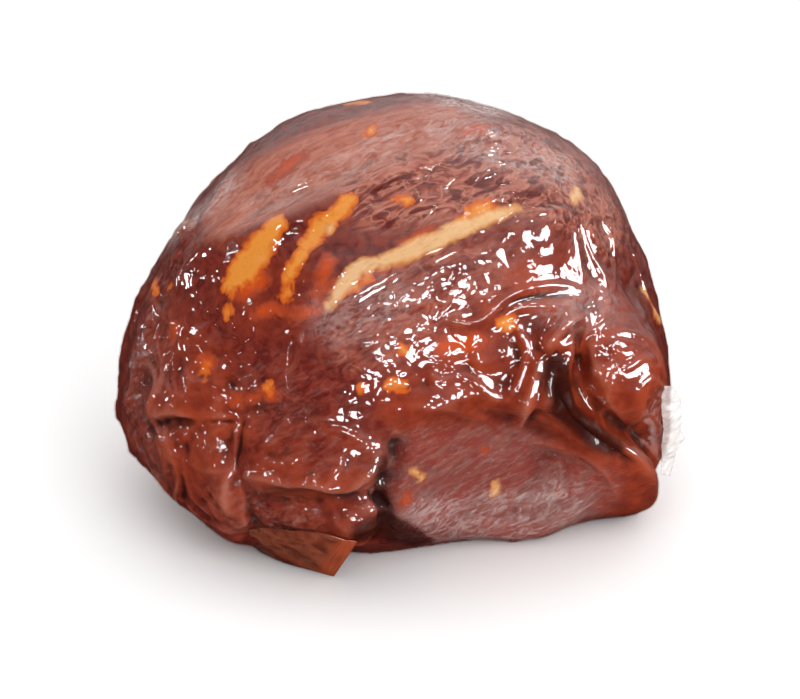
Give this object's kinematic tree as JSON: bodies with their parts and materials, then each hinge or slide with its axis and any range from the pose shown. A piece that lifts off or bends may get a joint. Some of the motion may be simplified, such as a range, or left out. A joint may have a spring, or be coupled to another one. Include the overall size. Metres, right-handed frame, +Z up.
{
  "type": "vacuum-packed beef joint",
  "caption": "Boneless glazed beef joint for pulling, in a clear vacuum bag drawn tight on it, with wrinkles, folds and two loose bag tails.",
  "frame": {"origin": "middle of the outline seen from above, on the surface it stands on", "axes": "+Z up, -Y towards the front with the flat cut face, +X towards the right side with the knob and the small tail"},
  "size_m": [0.1792, 0.1526, 0.1252],
  "materials": {
    "packed_beef_joint": "clear glossy film drawn tight over dark red-brown glazed beef with yellow fat"
  },
  "bodies": {
    "root": {"packed_beef_joint": "packed_beef_joint"}
  },
  "joints": []
}
